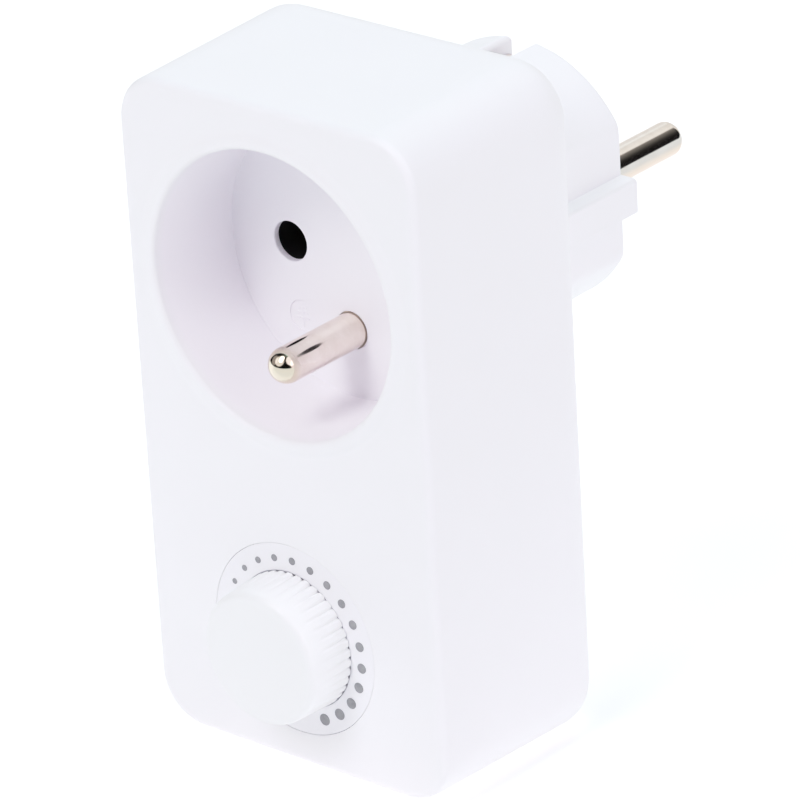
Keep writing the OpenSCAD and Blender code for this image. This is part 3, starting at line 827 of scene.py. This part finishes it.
def stage_floor():
    """A plain pale table that glows: behind the object, where the glow lights the object from below and fills the
    shadow it casts with painted light, and in a small pool round its footprint, painted light that fills the contact
    shadow, so that it turns white round the object.
    """
    m, n, l, b = new_material("stage_floor")
    coord = n.new("ShaderNodeTexCoord").outputs["Object"]
    fine = noise_node(n, l, coord, 3.0, 3.0, 0.5)
    tone = ramp_node(n, l, fine.outputs["Fac"], [(0.3, (0.93, 0.93, 0.93)), (0.7, (0.95, 0.95, 0.95))])
    l.new(tone.outputs["Color"], b.inputs["Base Color"])
    b.inputs["Roughness"].default_value = 0.9
    b.inputs["Specular IOR Level"].default_value = 0.0
    b.inputs["Emission Color"].default_value = (1, 1, 1, 1)
    back = along(n, l, coord, (-0.66, 0.75, 0))
    # glow behind the object: it lights the object from below, and as painted light it fills the shadow the object casts
    # on the floor
    glow = math_node(n, l, "ADD", smooth_node(n, l, back, -0.10, -0.05, 0.0, 0.2), smooth_node(n, l, back, -0.04, 0.0, 0.0, 0.2))
    side = smooth_node(n, l, along(n, l, coord, (0.77, 0.64, 0)), 0.05, 0.17, 1.0, 0.0)
    # painted light: a small pool of glow round the footprint fills the contact shadow
    foot = smooth_node(n, l, distance(n, l, coord, (0.0, -0.0365), (0.018, 0.0125)), 0.0, 0.007, 0.3, 0.0)
    l.new(math_node(n, l, "ADD", math_node(n, l, "MULTIPLY", glow, side), foot), b.inputs["Emission Strength"])
    mesh = bpy.data.meshes.new("floor")
    w = 12.0
    mesh.from_pydata([(-w, -w, lowest), (w, -w, lowest), (w, w, lowest), (-w, w, lowest)], [], [(0, 1, 2, 3)])
    floor = bpy.data.objects.new("floor", mesh)
    mesh.materials.append(m)
    scene.collection.objects.link(floor)


# soft boxes: degrees round to the right from the front, degrees up, half their width in degrees, colour
BOXES = [
    (-7, 45, 10, (7.2, 7.2, 7.6)),
    (-6, 60, 12, (2.9, 2.9, 3.0)),
    (-14, 37, 28, (1.03, 1.0, 1.04)),
    (-52, 25, 22, (0.38, 0.36, 0.38)),
    (78, 42, 28, (1.35, 1.28, 1.4)),
    (98, 15, 30, (1.14, 1.03, 1.14)),
    (-120, 45, 25, (0.5, 0.64, 0.72)),
]
# wide glows from behind: the same two angles, sharpness, colour
GLOWS = [
    (150, 65, 12, (0.8, 0.76, 0.72)),
    (150, 78, 60, (2.2, 4.4, 4.5)),
]


def sky():
    """A dark studio with soft lights round the object, and a pale wall behind to the left."""
    world = bpy.data.worlds.new("studio")
    scene.world = world
    world.use_nodes = True
    n, l = world.node_tree.nodes, world.node_tree.links
    back = n["Background"]
    coord = n.new("ShaderNodeTexCoord").outputs["Generated"]
    total = None

    def add(amount, colour):
        nonlocal total
        part = n.new("ShaderNodeVectorMath")
        part.operation = "SCALE"
        part.inputs[0].default_value = colour
        l.new(amount, part.inputs["Scale"])
        if total is None:
            total = part.outputs["Vector"]
            return
        both = n.new("ShaderNodeVectorMath")
        both.operation = "ADD"
        l.new(total, both.inputs[0])
        l.new(part.outputs["Vector"], both.inputs[1])
        total = both.outputs["Vector"]

    def reach(az, el):
        az, el = math.radians(az), math.radians(el)
        return along(n, l, coord, (math.sin(az) * math.cos(el), -math.cos(az) * math.cos(el), math.sin(el)))

    for az, el, half, colour in BOXES:
        edge = [math.cos(math.radians(half + k)) for k in (3, -3)]
        add(smooth_node(n, l, reach(az, el), edge[0], edge[1], 0.0, 1.0), colour)
    for az, el, sharp, colour in GLOWS:
        add(math_node(n, l, "POWER", math_node(n, l, "MAXIMUM", reach(az, el), 0.0), sharp), colour)
    # the wall ends a little to the right of the pins
    left = smooth_node(n, l, along(n, l, coord, (-1, 0, 0)), -0.22, -0.10, 0.0, 1.0)
    rear = smooth_node(n, l, along(n, l, coord, (0, 1, 0)), 0.35, 0.6, 0.0, 1.0)
    add(math_node(n, l, "MULTIPLY", left, rear), (1.0, 0.97, 0.95))
    l.new(total, back.inputs["Color"])
    back.inputs["Strength"].default_value = 1.0


stage_floor()
sky()
